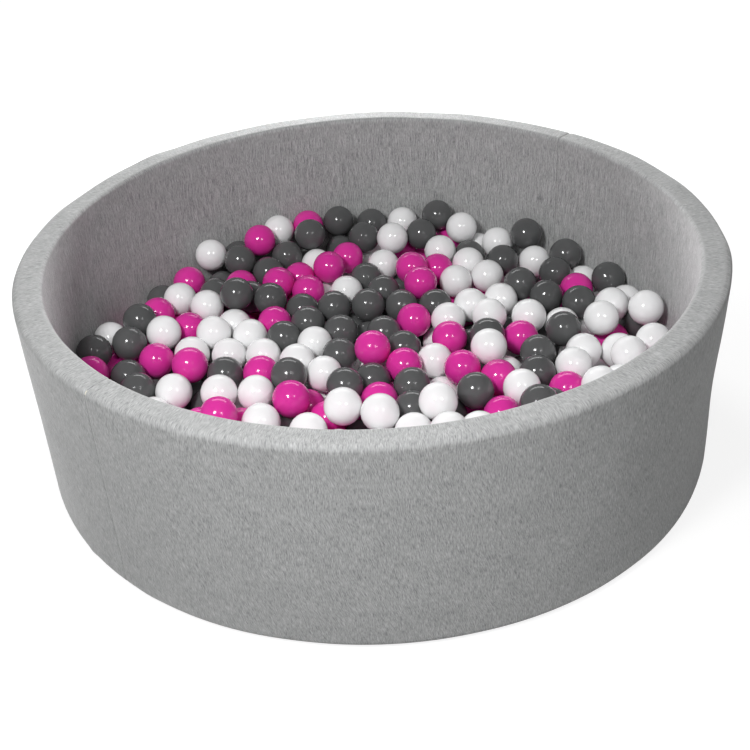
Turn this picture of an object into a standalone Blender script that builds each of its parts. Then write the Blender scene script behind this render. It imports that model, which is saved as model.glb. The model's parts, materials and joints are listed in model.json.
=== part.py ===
"""Round foam ball pit for a child's room, filled with loose plastic balls.

A strip of foam is bent to a ring, stands on its edge and is covered with two panels of soft
jersey, sewn together at opposite sides. A foam mat lies inside the ring, between a floor cover
and a bottom cover. A zip runs round the underside, where the wall covers meet the bottom cover.
The balls lie two deep on the mat. Metres, +Z up, origin at the middle of the underside.
"""
import math

import bmesh
import bpy
import numpy as np

# Pit
OUTER_DIAMETER = 1.28
WALL_HEIGHT = 0.40
WALL_THICKNESS = 0.05
WALL_LEAN = 0.006              # the outer face is drawn in by this much at its foot
RIM_ROUNDING = 0.010
FOOT_ROUNDING = 0.018
FABRIC_THICKNESS = 0.002
MAT_THICKNESS = 0.04           # foam of the floor, without its covers
CLEARANCE = 0.0003             # between pieces that touch
CUT_OVERRUN = 0.01             # by which a cutter passes the faces it cuts
MERGE_DISTANCE = 0.00001       # corners nearer than this are one
FOAM_JOINT_WIDTH = 0.001       # slit where the ends of the bent strip butt together
SEAM_AZIMUTH = math.radians(46.0)   # of one seam of the cover, the other lies opposite

# Zip
ZIP_INSET = 0.0305             # from the foot of the outer face in to the zip's middle line
ZIP_LIFT = 0.007               # height of the zip's middle above the floor
ZIP_GAP = 0.0032               # between the two beads of teeth
BEAD_WIDTH = 0.002
BEAD_THICKNESS = 0.002
TAPE_THICKNESS = 0.0008
TAPE_FLAT_WIDTH = 0.0022       # level strip of tape beside the bead
TAPE_SLOPE_WIDTH = 0.0047      # strip that slopes down to the cover it is sewn to
ZIP_OPENING_WIDTH = 0.013      # between the wall cover's hem and the bottom cover
ZIP_END_GAP = 0.030            # between the zip's first tooth and its last
ZIP_AZIMUTH = math.radians(90.0)
STOP_LENGTH = 0.004
SLIDER_LENGTH = 0.010
SLIDER_WIDTH = 0.009
SLIDER_POST_WIDTH = 0.001
SLIDER_PLATE_THICKNESS = 0.0009
SLIDER_RUNNING_GAP = 0.0005
SLIDER_CHEEK_THICKNESS = 0.0012
PIN_DIAMETER = 0.0011
PIN_HEIGHT = 0.0024            # of its axis above the floor
TAB_EYE_DIAMETER = 0.0033
TAB_BORE_DIAMETER = 0.0017
TAB_THICKNESS = 0.0013
TAB_LENGTH = 0.022

# Balls
BALL_DIAMETER = 0.07
WELD_RADIUS = 0.003            # of the small facet that two joined balls share
BALL_PIECES = 48               # lone balls, which lift out, and groups of joined ones
SEEN_HEIGHT_SHARE = 1.55       # first height of a ball's centre over the mat, of its diameter
DEEP_HEIGHT_SHARE = 1.0
HIDDEN_SPACING_SHARE = 1.0     # first spacing of the hidden balls
HIDDEN_JITTER_SHARE = 0.08
CROWDED_SHARE = 0.5            # a hidden ball nearer than this to a seen one is left out
REACH_SHARE = 1.08             # balls this near are neighbours that can be joined
TOUCH_SHARE = 1.02             # balls this near touch
SMALL_GROUP = 12               # groups of fewer balls than this are small
COLOUR_TRIALS = 8              # ways in which the hidden balls' colours are tried
COLOUR_SWEEPS = 3
MARGIN_SHARE = 0.0007          # by which settling moves balls further apart than they need
SETTLED_SHARE = 0.0002         # settling ends when no balls overlap by more
WATCH_SHARE = 1.3              # balls this near are watched for overlaps
SINK_SHARE = 0.006             # fall of a ball in one settling step
PULL_SHARE = 0.12              # part of its way back to its line of sight in one step
SETTLE_STEPS = 500
FINISH_STEPS = 4000

# Resolution of the round pieces
RING_SEGMENTS = 48
TOUCH_CLEARING = math.radians(20)   # a corner nearer than this to a touching point is left out
ARC_STEPS = 3
PIN_SEGMENTS = 12
SHARP_ANGLE = math.radians(60)      # flatter edges than this are shaded smooth

# Viewpoint from which the places of the balls were read; the shares are of the outer radius
VIEW_DISTANCE_SHARE = 3.797
VIEW_RIM_SHARE = 0.625         # height of the rim that hides the balls by the front wall
VIEW_ELEVATION = math.radians(35.08)
VIEW_PAN = math.radians(-0.08)
VIEW_TILT = math.radians(2.05)
VIEW_ROLL = math.radians(-2.89)
VIEW_FOCAL_PX = 1208.2
VIEW_CENTRE_PX = (375.0, 375.0)

# Centres of the balls that can be seen, read by eye in a picture 750 pixels square
WHITE_SEEN_PX = (
    (215.5, 253.5), (177.8, 301.5), (208.8, 304), (278.8, 228.8), (319.5, 263.5), (346, 292.5),
    (232.5, 323), (250.5, 334.5), (212.8, 334.8), (230.3, 353.5), (265.5, 359.5), (297.5, 361),
    (315.5, 342), (323.5, 372.3), (346.2, 407), (255.8, 394.3), (259, 421.5), (219.8, 393.5),
    (308, 432), (446, 321.8), (429.5, 357), (434.5, 402.5), (491.5, 353), (487, 315.5),
    (474.5, 305), (495, 305), (411, 428.5), (380.5, 418.5), (480, 427), (523, 392.5),
    (402.5, 222.5), (393.3, 236.8), (460.8, 228.3), (442, 250.5), (466.5, 263.5), (493.8, 243),
    (535, 260), (384, 265.3), (454.8, 279), (487.8, 276.3), (612, 304.5), (645.8, 307),
    (602, 317.3), (531.3, 317.2), (648, 341.5), (629, 353), (613.8, 352.5), (593, 350),
    (572, 364.5), (600, 385), (164.6, 333.8), (191, 353), (172.8, 390.5),
)
GREY_SEEN_PX = (
    (136.5, 323), (228.5, 284.5), (216, 295.5), (309.5, 234), (338.5, 221), (371.5, 222),
    (362.7, 237.3), (286.6, 254.8), (240.3, 265.5), (263.7, 274.7), (253, 298.8), (238.5, 302.5),
    (271.5, 302.7), (366, 278.5), (333.5, 306), (366.5, 306.2), (300.8, 307), (306.6, 324),
    (338.5, 333), (282.5, 338.8), (223.5, 374), (290, 379), (340, 355.4), (349.5, 385.3),
    (374.5, 378.5), (383.5, 332), (403.3, 347), (410, 385.5), (412, 408), (473.5, 391),
    (488, 333), (423.5, 234.5), (437.5, 217.6), (502.8, 259.7), (524.2, 233), (382.5, 290.3),
    (399, 307), (438.5, 306.5), (519.8, 287), (568, 255.8), (557, 271.3), (610, 279),
    (577, 300.8), (545, 296), (565.3, 329), (540.5, 370.5), (537.5, 350.5), (549, 402.5),
    (541, 413.5), (129.3, 342), (95.3, 353.5), (137.6, 388.4), (129, 377),
)
MAGENTA_SEEN_PX = (
    (190, 287), (158.5, 313.7), (258, 243.5), (307.5, 223.7), (343.7, 257.3), (277.4, 285),
    (246.4, 290.6), (306.4, 292.7), (326.3, 268.3), (275, 322), (255.7, 372.2), (369.7, 348),
    (380, 397.7), (290, 400.6), (217, 415.5), (417.4, 318.4), (448.5, 340.3), (408.2, 366),
    (463.5, 366), (498.8, 375), (501, 415), (521.5, 342), (437.4, 265), (416, 267.6),
    (418.3, 282), (578, 288), (569, 386.5), (188, 333), (159.2, 359.2), (197, 367), (90.5, 371.5),
)
WHITE_DEEP_PX = (
    (327, 296), (373.5, 369), (434.5, 338.5), (444, 394), (522, 415), (502.5, 376), (479.5, 246.5),
    (524, 266), (373, 256), (583.5, 281), (627, 309), (526.5, 314), (559, 323), (586, 334),
    (588, 401), (113, 343),
)
GREY_DEEP_PX = (
    (162, 299), (341, 250.5), (238, 253), (356, 327), (364, 337), (282, 431), (356, 434),
    (446.5, 414), (472, 342), (510, 330), (466.5, 257), (396, 285), (509, 300), (636.8, 325),
    (180, 372), (205.5, 403.5),
)
MAGENTA_DEEP_PX = (
    (296.3, 282.5), (241, 422), (313, 404.5), (333, 420), (338, 441), (455, 316), (382.5, 440.5),
    (447, 437.5), (408, 253.5), (447, 244), (527, 301), (614, 341), (652, 363), (115, 366),
    (203, 424),
)
COLOUR_NAMES = ("white", "grey", "magenta")

OUTER_RADIUS = OUTER_DIAMETER / 2
INNER_RADIUS = OUTER_RADIUS - WALL_THICKNESS
FOOT_RADIUS = OUTER_RADIUS - WALL_LEAN
MAT_BOTTOM = FABRIC_THICKNESS + CLEARANCE
MAT_TOP = MAT_BOTTOM + MAT_THICKNESS
FLOOR_HEIGHT = MAT_TOP + CLEARANCE + FABRIC_THICKNESS
ZIP_RADIUS = FOOT_RADIUS - ZIP_INSET
HEM_BOTTOM = CLEARANCE         # the pit stands on its bottom cover
FOOT_CENTRE = HEM_BOTTOM + FOOT_ROUNDING
BEAD_BOTTOM = ZIP_LIFT - BEAD_THICKNESS / 2
BEAD_TOP = ZIP_LIFT + BEAD_THICKNESS / 2
BALL_RADIUS = BALL_DIAMETER / 2
BALL_SPACING = BALL_DIAMETER + CLEARANCE
# The flat facets of the ring's inner face lie nearer the middle than its corners
BALL_REACH = INNER_RADIUS * math.cos(math.pi / RING_SEGMENTS) - BALL_RADIUS - CLEARANCE
BALL_REST_HEIGHT = FLOOR_HEIGHT + BALL_RADIUS + CLEARANCE


def material(name, colour, roughness, metallic=0.0):
    """A plain material of one colour."""
    made = bpy.data.materials.new(name)
    made.use_nodes = True
    shader = made.node_tree.nodes["Principled BSDF"]
    shader.inputs["Base Color"].default_value = (*colour, 1.0)
    shader.inputs["Roughness"].default_value = roughness
    shader.inputs["Metallic"].default_value = metallic
    return made


def collection(name):
    """A new collection in the scene."""
    made = bpy.data.collections.new(name)
    bpy.context.scene.collection.children.link(made)
    return made


def mesh_object(name, bm, group, made_of=None):
    """An object of the faces in a bmesh, which is freed, shaded smooth but for its sharp edges."""
    mesh = bpy.data.meshes.new(name)
    bm.to_mesh(mesh)
    bm.free()
    mesh.shade_smooth()
    mesh.set_sharp_from_angle(angle=SHARP_ANGLE)
    made = bpy.data.objects.new(name, mesh)
    group.objects.link(made)
    if made_of is not None:
        mesh.materials.append(made_of)
    return made


def cutter(name, bm, group):
    """A shape that only cuts others, or is joined to them."""
    made = mesh_object(name, bm, group)
    made.hide_render = True
    made.display_type = "WIRE"
    return made


def boolean(target, tool, operation):
    """Cut a tool out of a piece, or join it to the piece."""
    modifier = target.modifiers.new(tool.name, "BOOLEAN")
    modifier.operation = operation
    modifier.solver = "EXACT"
    modifier.object = tool


def arc(centre, radius, start, end, steps):
    """Points on an arc in a flat outline, both ends included."""
    angles = [start + (end - start) * step / steps for step in range(steps + 1)]
    return [(centre[0] + radius * math.cos(a), centre[1] + radius * math.sin(a)) for a in angles]


def turned(name, outline, closed, group, made_of, sweep=2 * math.pi, segments=RING_SEGMENTS):
    """A piece turned about the Z axis from an outline of radii and heights, from the seam on."""
    bm = bmesh.new()
    corners = [bm.verts.new((radius, 0, height)) for radius, height in outline]
    for here, after in zip(corners, corners[1:]):
        bm.edges.new((here, after))
    if closed:
        bm.edges.new((corners[-1], corners[0]))
    made = mesh_object(name, bm, group, made_of)
    made.rotation_euler = (0, 0, SEAM_AZIMUTH)
    screw = made.modifiers.new("turn", "SCREW")
    screw.angle = sweep
    screw.steps = segments
    screw.render_steps = segments
    screw.use_merge_vertices = True
    screw.merge_threshold = MERGE_DISTANCE
    screw.use_smooth_shade = True
    return made


def disc(name, radius, bottom, top, group, made_of):
    """A round flat layer."""
    bm = bmesh.new()
    bmesh.ops.create_cone(
        bm, cap_ends=True, segments=RING_SEGMENTS, radius1=radius, radius2=radius, depth=top - bottom)
    bmesh.ops.translate(bm, vec=(0, 0, (bottom + top) / 2), verts=bm.verts)
    made = mesh_object(name, bm, group, made_of)
    made.rotation_euler = (0, 0, SEAM_AZIMUTH)
    return made


def box(length, width, height):
    """A box round the origin, in a new bmesh."""
    bm = bmesh.new()
    bmesh.ops.create_cube(bm, size=1)
    bmesh.ops.scale(bm, vec=(length, width, height), verts=bm.verts)
    return bm


def extruded(outline, depth):
    """A flat outline in the XZ plane, drawn out along Y to both sides, in a new bmesh."""
    bm = bmesh.new()
    corners = [bm.verts.new((x, -depth / 2, z)) for x, z in outline]
    face = bm.faces.new(corners)
    drawn = bmesh.ops.extrude_face_region(bm, geom=[face])["geom"]
    moved = [item for item in drawn if isinstance(item, bmesh.types.BMVert)]
    bmesh.ops.translate(bm, vec=(0, depth, 0), verts=moved)
    bmesh.ops.recalc_face_normals(bm, faces=bm.faces)
    return bm


def wall_face():
    """Outline of the cover's outer side: up the inner face, over the rim, down to the hem."""
    rim_centre = WALL_HEIGHT - RIM_ROUNDING
    outline = [(INNER_RADIUS, MAT_BOTTOM)]
    outline += arc((INNER_RADIUS + RIM_ROUNDING, rim_centre), RIM_ROUNDING,
                   math.pi, math.pi / 2, ARC_STEPS)
    outline += arc((OUTER_RADIUS - RIM_ROUNDING, rim_centre), RIM_ROUNDING,
                   math.pi / 2, 0, ARC_STEPS)
    outline += arc((FOOT_RADIUS - FOOT_ROUNDING, FOOT_CENTRE), FOOT_ROUNDING,
                   0, -math.pi / 2, ARC_STEPS)
    outline.append((ZIP_RADIUS + ZIP_OPENING_WIDTH / 2, HEM_BOTTOM))
    return outline


def make_wall(group, tools, jersey, foam):
    """The two panels of jersey over the wall, and the bent strip of foam inside them."""
    half_seam = CLEARANCE / INNER_RADIUS / 2
    for name, start in (("wall_cover_back", half_seam), ("wall_cover_front", math.pi + half_seam)):
        cover = turned(name, wall_face(), False, group, jersey,
                       math.pi - 2 * half_seam, RING_SEGMENTS // 2)
        cover.rotation_euler[2] += start
        solidify = cover.modifiers.new("fabric", "SOLIDIFY")
        solidify.thickness = FABRIC_THICKNESS
        solidify.offset = -1
        solidify.use_even_offset = True

    inset = FABRIC_THICKNESS + CLEARANCE
    rim_rounding = RIM_ROUNDING - inset
    foot_rounding = FOOT_ROUNDING - inset
    rim_centre = WALL_HEIGHT - RIM_ROUNDING
    groove_edge = (ZIP_RADIUS + ZIP_GAP / 2 + BEAD_WIDTH + TAPE_FLAT_WIDTH + TAPE_SLOPE_WIDTH
                   + CLEARANCE)
    groove_top = BEAD_TOP + SLIDER_RUNNING_GAP + SLIDER_PLATE_THICKNESS + SLIDER_RUNNING_GAP
    outline = arc((INNER_RADIUS + RIM_ROUNDING, rim_centre), rim_rounding,
                  math.pi, math.pi / 2, ARC_STEPS)
    outline += arc((OUTER_RADIUS - RIM_ROUNDING, rim_centre), rim_rounding,
                   math.pi / 2, 0, ARC_STEPS)
    outline += arc((FOOT_RADIUS - FOOT_ROUNDING, FOOT_CENTRE), foot_rounding,
                   0, -math.pi / 2, ARC_STEPS)
    outline += [(groove_edge, HEM_BOTTOM + inset), (groove_edge, groove_top),
                (INNER_RADIUS + inset, groove_top)]
    strip = turned("wall_foam", outline, True, group, foam)

    slit = box(WALL_THICKNESS + 2 * CUT_OVERRUN, FOAM_JOINT_WIDTH, WALL_HEIGHT + 2 * CUT_OVERRUN)
    joint = cutter("foam_joint", slit, tools)
    middle = (OUTER_RADIUS + INNER_RADIUS) / 2
    joint.location = (middle * math.cos(SEAM_AZIMUTH), middle * math.sin(SEAM_AZIMUTH), WALL_HEIGHT / 2)
    joint.rotation_euler = (0, 0, SEAM_AZIMUTH)
    boolean(strip, joint, "DIFFERENCE")


def make_floor(group, jersey, lining, foam):
    """The foam mat between the floor cover and the bottom cover."""
    disc("bottom_cover", ZIP_RADIUS - ZIP_OPENING_WIDTH / 2, 0, FABRIC_THICKNESS, group, lining)
    disc("base_foam", INNER_RADIUS - CLEARANCE, MAT_BOTTOM, MAT_TOP, group, foam)
    disc("floor_cover", INNER_RADIUS - CLEARANCE, MAT_TOP + CLEARANCE, FLOOR_HEIGHT, group, jersey)


def zip_side(side):
    """Outline of one half of the zip, a bead of teeth on a tape; side is 1 outside, -1 inside."""
    bead_near = ZIP_GAP / 2
    bead_far = bead_near + BEAD_WIDTH
    slope_start = bead_far + TAPE_FLAT_WIDTH
    edge = slope_start + TAPE_SLOPE_WIDTH
    sewn_bottom = HEM_BOTTOM + FABRIC_THICKNESS + CLEARANCE
    tape_bottom = ZIP_LIFT - TAPE_THICKNESS / 2
    tape_top = ZIP_LIFT + TAPE_THICKNESS / 2
    outline = [
        (bead_near, BEAD_TOP), (bead_far, BEAD_TOP), (bead_far, tape_top), (slope_start, tape_top),
        (edge, sewn_bottom + TAPE_THICKNESS), (edge, sewn_bottom), (slope_start, tape_bottom),
        (bead_far, tape_bottom), (bead_far, BEAD_BOTTOM), (bead_near, BEAD_BOTTOM),
    ]
    if side < 0:
        outline.reverse()
    return [(ZIP_RADIUS + side * away, height) for away, height in outline]


def place_on_zip(thing, along, height):
    """Put a piece on the zip's middle line, this far past its first tooth, its X axis outwards."""
    # The facets of the beads lie a little inside their corners
    radius = ZIP_RADIUS * (1 + math.cos(math.pi / RING_SEGMENTS)) / 2
    azimuth = ZIP_AZIMUTH + (ZIP_END_GAP / 2 + along) / radius
    thing.location = (radius * math.cos(azimuth), radius * math.sin(azimuth), height)
    thing.rotation_euler = (0, 0, azimuth)
    return azimuth


def slider_outline():
    """Section of the slider: two plates on a post, and two cheeks that hold the pin."""
    half = SLIDER_WIDTH / 2
    post = SLIDER_POST_WIDTH / 2
    cheek = half - SLIDER_CHEEK_THICKNESS
    upper = BEAD_TOP + SLIDER_RUNNING_GAP
    lower = BEAD_BOTTOM - SLIDER_RUNNING_GAP
    foot = PIN_HEIGHT - TAB_EYE_DIAMETER / 2
    right = [
        (half, upper + SLIDER_PLATE_THICKNESS), (half, upper), (post, upper), (post, lower),
        (half, lower), (half, foot), (cheek, foot), (cheek, lower - SLIDER_PLATE_THICKNESS),
    ]
    left = [(-x, z) for x, z in reversed(right)]
    return [(x, z - PIN_HEIGHT) for x, z in right + left]


def pin(name, diameter, length, tools):
    """A round bar along X."""
    bm = bmesh.new()
    bmesh.ops.create_cone(bm, cap_ends=True, segments=PIN_SEGMENTS, radius1=diameter / 2,
                          radius2=diameter / 2, depth=length)
    made = cutter(name, bm, tools)
    made.rotation_mode = "XYZ"
    return made


def make_zip(group, tools, tape, metal):
    """The two halves of the zip, its stops, its slider and its pull tab."""
    both_beads = ZIP_GAP + 2 * BEAD_WIDTH
    both_tapes = both_beads + 2 * (TAPE_FLAT_WIDTH + TAPE_SLOPE_WIDTH)
    gap = box(both_tapes + 2 * CUT_OVERRUN, ZIP_END_GAP, 2 * (BEAD_TOP + CUT_OVERRUN))
    missing = cutter("zip_end_gap", gap, tools)
    missing.location = (ZIP_RADIUS * math.cos(ZIP_AZIMUTH), ZIP_RADIUS * math.sin(ZIP_AZIMUTH), 0)
    missing.rotation_euler = (0, 0, ZIP_AZIMUTH)
    for name, side in (("zip_side_outer", 1), ("zip_side_inner", -1)):
        half = turned(name, zip_side(side), True, group, tape)
        boolean(half, missing, "DIFFERENCE")

    for name, along in (("zip_stop_first", -STOP_LENGTH / 2 - CLEARANCE),
                        ("zip_stop_last", STOP_LENGTH / 2 + CLEARANCE - ZIP_END_GAP)):
        stop = mesh_object(name, box(both_beads, STOP_LENGTH, BEAD_THICKNESS), group, metal)
        place_on_zip(stop, along, ZIP_LIFT)

    start = SLIDER_LENGTH / 2 + CLEARANCE
    slider = mesh_object("zip_slider", extruded(slider_outline(), SLIDER_LENGTH), group, metal)
    azimuth = place_on_zip(slider, start, PIN_HEIGHT)
    axle = pin("slider_pin", PIN_DIAMETER, SLIDER_WIDTH - SLIDER_CHEEK_THICKNESS, tools)
    place_on_zip(axle, start, PIN_HEIGHT)
    axle.rotation_euler = (math.pi / 2, 0, azimuth + math.pi / 2)
    boolean(slider, axle, "UNION")

    tab_width = SLIDER_WIDTH - 2 * SLIDER_CHEEK_THICKNESS - 2 * CLEARANCE
    neck = math.asin(TAB_THICKNESS / TAB_EYE_DIAMETER)
    eye = arc((0, 0), TAB_EYE_DIAMETER / 2, neck, 2 * math.pi - neck, 3 * ARC_STEPS)
    outline = eye + [(TAB_LENGTH, -TAB_THICKNESS / 2), (TAB_LENGTH, TAB_THICKNESS / 2)]
    tab = mesh_object("zip_pull_tab", extruded(outline, tab_width), group, metal)
    place_on_zip(tab, start, PIN_HEIGHT)
    tab.rotation_euler = (0, 0, azimuth + math.pi / 2)
    bore = pin("tab_bore", TAB_BORE_DIAMETER, SLIDER_WIDTH, tools)
    place_on_zip(bore, start, PIN_HEIGHT)
    bore.rotation_euler = (math.pi / 2, 0, azimuth + math.pi / 2)
    boolean(tab, bore, "DIFFERENCE")


def lines_of_sight(pixels):
    """The viewpoint, and the unit directions from it through points of the picture."""
    distance = VIEW_DISTANCE_SHARE * OUTER_RADIUS
    eye = np.array([0, -distance * math.cos(VIEW_ELEVATION), distance * math.sin(VIEW_ELEVATION)])
    ahead = -eye / np.linalg.norm(eye)
    right = np.array([1.0, 0, 0])
    up = np.cross(right, ahead)
    ahead, right = (ahead * math.cos(VIEW_PAN) + right * math.sin(VIEW_PAN),
                    right * math.cos(VIEW_PAN) - ahead * math.sin(VIEW_PAN))
    ahead, up = (ahead * math.cos(VIEW_TILT) + up * math.sin(VIEW_TILT),
                 up * math.cos(VIEW_TILT) - ahead * math.sin(VIEW_TILT))
    right, up = (right * math.cos(VIEW_ROLL) + up * math.sin(VIEW_ROLL),
                 up * math.cos(VIEW_ROLL) - right * math.sin(VIEW_ROLL))
    across = np.asarray(pixels)[:, 0:1] - VIEW_CENTRE_PX[0]
    down = np.asarray(pixels)[:, 1:2] - VIEW_CENTRE_PX[1]
    along = ahead * VIEW_FOCAL_PX + right * across - up * down
    return eye, along / np.linalg.norm(along, axis=1, keepdims=True)


def hexagonal(shift):
    """Places at an even spacing on the floor, inside the wall, a little out of line."""
    spacing = HIDDEN_SPACING_SHARE * BALL_SPACING
    rows = int(BALL_REACH / (spacing * math.sqrt(3) / 2)) + 1
    columns = int(BALL_REACH / spacing) + 2
    places = []
    for row in range(-rows, rows + 1):
        for column in range(-columns, columns + 1):
            x = (column + (row % 2) / 2 + shift) * spacing
            y = (row + shift) * spacing * math.sqrt(3) / 2
            if math.hypot(x, y) < BALL_REACH:
                places.append((x, y, 0))
    places = np.array(places)
    jitter = np.random.default_rng(3).uniform(-1, 1, places.shape)
    jitter[:, 2] = 0
    return places + jitter * HIDDEN_JITTER_SHARE * BALL_DIAMETER


def clear_of(places, others, share):
    """Which places have none of the others within a share of a ball's diameter, in plan."""
    apart = np.linalg.norm(places[:, None, :2] - others[None, :, :2], axis=2)
    return apart.min(axis=1) > share * BALL_DIAMETER


def first_places():
    """First places of all balls, their colours (-1 where hidden) and their lines of sight."""
    seen_px = []
    colours = []
    heights = []
    for group, share in (((WHITE_SEEN_PX, GREY_SEEN_PX, MAGENTA_SEEN_PX), SEEN_HEIGHT_SHARE),
                         ((WHITE_DEEP_PX, GREY_DEEP_PX, MAGENTA_DEEP_PX), DEEP_HEIGHT_SHARE)):
        for colour, pixels in enumerate(group):
            seen_px += pixels
            colours += [colour] * len(pixels)
            heights += [FLOOR_HEIGHT + share * BALL_DIAMETER] * len(pixels)
    heights = np.array(heights)
    eye, along = lines_of_sight(seen_px)
    seen = eye + along * ((heights - eye[2]) / along[:, 2])[:, None]

    deep = seen[heights < heights.max()]
    lower = hexagonal(0)
    lower = lower[clear_of(lower, deep, CROWDED_SHARE)]
    lower[:, 2] = BALL_REST_HEIGHT

    # The front wall hides the balls whose line of sight meets the rim's plane outside the ring
    rim_height = VIEW_RIM_SHARE * OUTER_RADIUS
    upper = hexagonal(1 / 2)
    upper[:, 2] = FLOOR_HEIGHT + SEEN_HEIGHT_SHARE * BALL_DIAMETER
    ahead = upper - eye
    crossing = eye + ahead * ((rim_height - eye[2]) / ahead[:, 2])[:, None]
    behind_wall = np.linalg.norm(crossing[:, :2], axis=1) > INNER_RADIUS
    upper = upper[behind_wall & clear_of(upper, seen, CROWDED_SHARE)]

    hidden = len(lower) + len(upper)
    places = np.concatenate([seen, lower, upper])
    colours = np.array(colours + [-1] * hidden)
    return places, colours, eye, along


def near_pairs(places, reach):
    """Index pairs of the balls that lie within a reach of each other."""
    apart = np.linalg.norm(places[:, None] - places[None], axis=2)
    return np.argwhere(np.triu(apart < reach, 1)).tolist()


def push_apart(places, pairs, spacing):
    """Move overlapping balls apart and back inside the wall; the deepest overlap is returned."""
    first, second = pairs
    between = places[first] - places[second]
    apart = np.linalg.norm(between, axis=1)
    overlap = np.maximum(spacing - apart, 0)
    move = between * (overlap / apart / 2)[:, None]
    shares = np.ones(len(places))
    np.add.at(shares, first, overlap > 0)
    np.add.at(shares, second, overlap > 0)
    total = np.zeros_like(places)
    np.add.at(total, first, move)
    np.add.at(total, second, -move)
    places += total / np.sqrt(shares)[:, None]
    places[:, 2] = np.maximum(places[:, 2], BALL_REST_HEIGHT)
    out = np.linalg.norm(places[:, :2], axis=1)
    places[:, :2] *= np.minimum(1, BALL_REACH / np.maximum(out, BALL_RADIUS))[:, None]
    return overlap.max()


def settle(places, eye, along):
    """Let the balls sink until they rest, each seen one kept near its line of sight."""
    seen = len(along)
    wide = BALL_SPACING * (1 + MARGIN_SHARE)
    for step in range(SETTLE_STEPS):
        if step % 10 == 0:
            pairs = np.transpose(near_pairs(places, WATCH_SHARE * BALL_SPACING))
        fade = 1 - step / SETTLE_STEPS
        places[:, 2] -= SINK_SHARE * fade * BALL_DIAMETER
        ahead = places[:seen] - eye
        off_line = ahead - along * (ahead * along).sum(axis=1, keepdims=True)
        places[:seen] -= PULL_SHARE * fade * off_line
        for _ in range(2):
            push_apart(places, pairs, wide)
    for step in range(FINISH_STEPS):
        if step % 20 == 0:
            pairs = np.transpose(near_pairs(places, WATCH_SHARE * BALL_SPACING))
        if push_apart(places, pairs, wide) < SETTLED_SHARE * BALL_SPACING:
            break
    return places


def joined_groups(colours, pairs, apart):
    """The group of each ball, where neighbours of one colour are joined, and the joined pairs."""
    group = list(range(len(colours)))

    def root(ball):
        while group[ball] != ball:
            group[ball] = group[group[ball]]
            ball = group[ball]
        return ball

    joined = []
    for here, there in pairs:
        if colours[here] != colours[there] or here in apart or there in apart:
            continue
        one, other = root(here), root(there)
        if one != other:
            group[one] = other
            joined.append((here, there))
    return [root(ball) for ball in range(len(colours))], joined


def colour_hidden(colours, pairs):
    """Colours for the hidden balls too, chosen so that few groups of one colour are left."""
    hidden = [ball for ball, colour in enumerate(colours) if colour < 0]
    neighbours = [[] for _ in colours]
    for here, there in pairs:
        neighbours[here].append(there)
        neighbours[there].append(here)
    kinds = range(len(COLOUR_NAMES))
    order = np.random.default_rng(5)
    best = None
    for _ in range(COLOUR_TRIALS):
        tried = list(colours)
        for _ in range(COLOUR_SWEEPS):
            for ball in order.permutation(hidden).tolist():
                tried[ball] = -1
                uncoloured = {other for other in hidden if tried[other] < 0}
                group, _ = joined_groups(tried, pairs, uncoloured)
                near = [{group[other] for other in neighbours[ball] if tried[other] == colour}
                        for colour in kinds]
                used = [tried.count(colour) for colour in kinds]
                tried[ball] = max(kinds, key=lambda colour: (len(near[colour]), -used[colour]))
        group, _ = joined_groups(tried, pairs, set())
        if best is None or len(set(group)) < best[0]:
            best = (len(set(group)), tried)
    return best[1]


def free_above(places, ball):
    """Whether a ball can be lifted straight out past all others."""
    higher = places[places[:, 2] > places[ball, 2]]
    plan = np.linalg.norm(higher[:, :2] - places[ball, :2], axis=1)
    return bool((plan > BALL_SPACING).all())


def choose_lone(places, colours, seen, pairs):
    """Balls that lift out, spread over the bed, without splitting the groups left behind."""
    groups, _ = joined_groups(colours, pairs, set())
    count = len(set(groups))
    can = [ball for ball in range(seen) if free_above(places, ball)]
    lone = [ball for ball in can if groups.count(groups[ball]) == 1]
    rest = [ball for ball in can if ball not in lone]
    while rest and count < BALL_PIECES:
        away = [min(np.linalg.norm(places[ball] - places[other]) for other in lone) for ball in rest]
        ball = rest.pop(int(np.argmax(away)))
        groups, _ = joined_groups(colours, pairs, {*lone, ball})
        if len(set(groups)) == count + 1:
            count += 1
            lone.append(ball)
    return set(lone)


def sphere_points(fineness):
    """Unit vectors to the corners of a cube (0), an icosahedron (1) or a finer ball (2)."""
    bm = bmesh.new()
    if fineness == 0:
        bmesh.ops.create_cube(bm, size=1)
    else:
        bmesh.ops.create_icosphere(bm, subdivisions=fineness, radius=1)
    points = np.array([corner.co.normalized()[:] for corner in bm.verts])
    bm.free()
    return points


def weld_corners(here, there):
    """Corners of the facet that two joined balls share, halfway between them."""
    along = (there - here) / np.linalg.norm(there - here)
    side = np.cross(along, (0, 0, 1) if abs(along[2]) < 0.9 else (1, 0, 0))
    side /= np.linalg.norm(side)
    other = np.cross(along, side)
    middle = (here + there) / 2
    turns = [2 * math.pi * corner / 3 for corner in range(3)]
    return [middle + WELD_RADIUS * (math.cos(t) * side + math.sin(t) * other) for t in turns]


def add_ball(bm, centre, touches, welds, points):
    """One ball: the hull of points on its sphere, with a corner at each touch and open welds."""
    special = [(point - centre) / np.linalg.norm(point - centre) for point in touches]
    special += [(there - centre) / np.linalg.norm(there - centre) for _, there in welds]
    corners = [bm.verts.new(point) for point in touches]
    facets = []
    for facet, _ in welds:
        made = [bm.verts.new(point) for point in facet]
        corners += made
        facets.append(made)
    for point in points:
        if all(point @ taken < math.cos(TOUCH_CLEARING) for taken in special):
            corners.append(bm.verts.new(centre + BALL_RADIUS * point))
    bmesh.ops.convex_hull(bm, input=corners)
    bmesh.ops.delete(bm, geom=[bm.faces.get(facet) for facet in facets], context="FACES_ONLY")


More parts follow.
